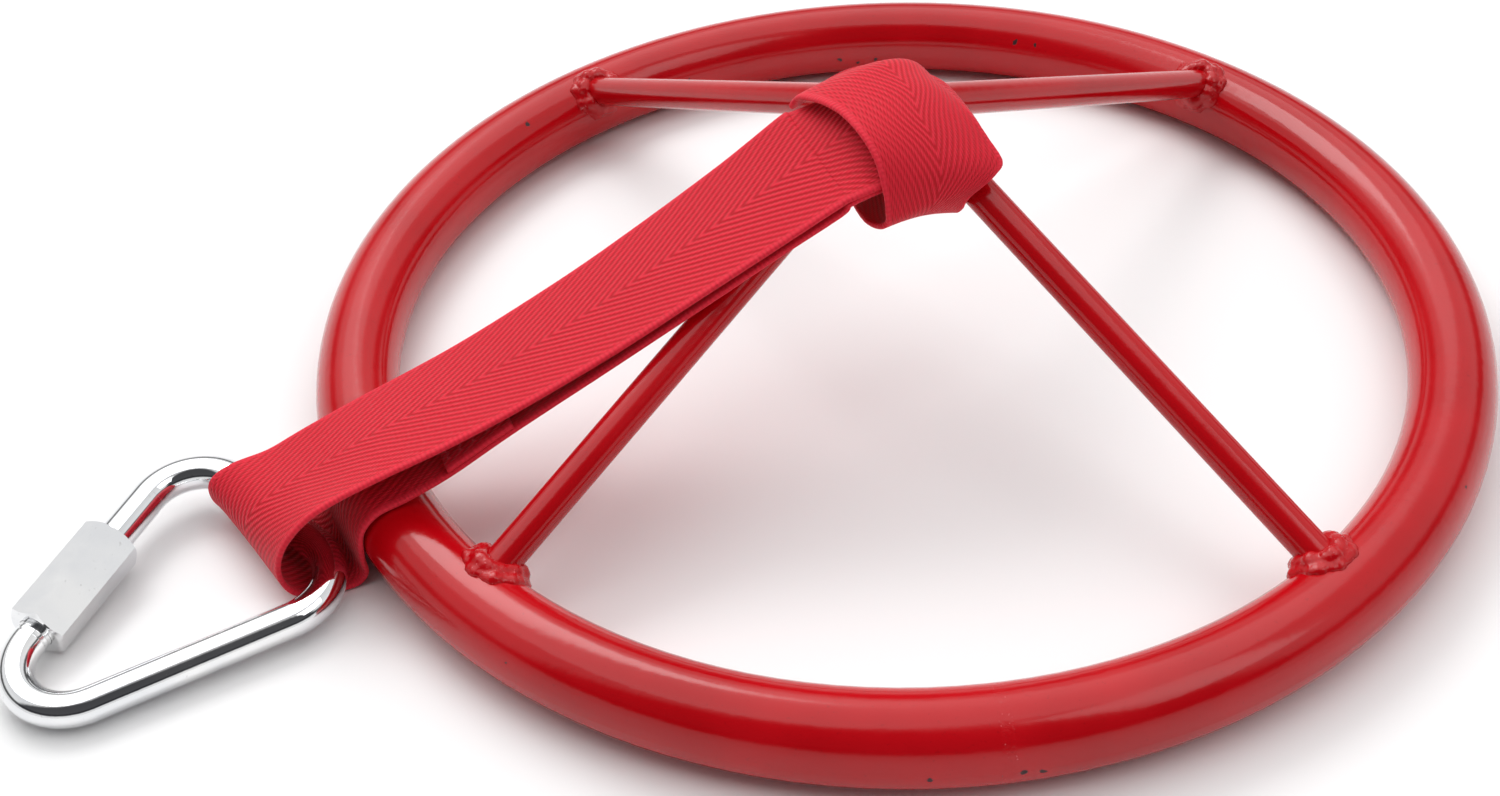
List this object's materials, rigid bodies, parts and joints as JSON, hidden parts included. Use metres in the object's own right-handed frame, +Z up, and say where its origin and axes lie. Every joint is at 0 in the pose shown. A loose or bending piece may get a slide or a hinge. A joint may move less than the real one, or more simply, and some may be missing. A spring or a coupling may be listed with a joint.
{
  "type": "hoop swing",
  "caption": "Round steel hoop swing with bars rising to a low crossing, a wide red webbing sling choked round the crossing, and a zinc-plated triangular quick link on the sling's free end.",
  "frame": {"origin": "hoop's centre on the floor, under the crossing of the bars", "axes": "+X to the hoop's right, +Y to its rear, +Z up; the sling leaves to the front left"},
  "size_m": [0.4221, 0.36, 0.1026],
  "materials": {
    "powder_coat": "gloss",
    "painted_weld": "gloss",
    "webbing": "matte",
    "thread": "matte",
    "zinc_plate": "polished"
  },
  "bodies": {
    "hoop": {"hoop_tube": "powder_coat", "hoop_butt_weld": "painted_weld", "spoke_front_left": "powder_coat", "spoke_front_right": "powder_coat", "spoke_rear_right": "powder_coat", "spoke_rear_left": "powder_coat", "rim_weld_front_left": "painted_weld", "rim_weld_front_right": "painted_weld", "rim_weld_rear_right": "painted_weld", "rim_weld_rear_left": "painted_weld", "hub_weld": "painted_weld", "hitch_band": "webbing", "hitch_front_wrap": "webbing", "hitch_rear_wrap": "webbing", "hitch_under": "webbing"},
    "sling": {"sling_upper_leg": "webbing", "sling_eye": "webbing", "sling_lower_leg": "webbing", "sling_lap": "webbing", "lap_stitching": "thread"},
    "link": {"link_body": "zinc_plate"},
    "nut": {"link_nut": "zinc_plate"}
  },
  "joints": [
    {"name": "sling_swing", "type": "hinge", "parent": "hoop", "child": "sling", "pos_m": [-0.02271, -0.02336, 0.0865], "axis": [-0.4147, 0.91, 0], "range_deg": [0, 110]},
    {"name": "link_swing", "type": "hinge", "parent": "sling", "child": "link", "pos_m": [-0.17264, -0.09259, 0.01079], "axis": [-0.6769, 0.7357, 0.0234], "range_deg": [-20, 20]},
    {"name": "nut_slide", "type": "slide", "parent": "link", "child": "nut", "axis": [0.3485, 0.9344, 0.0742], "range_m": [0, 0.016]}
  ]
}
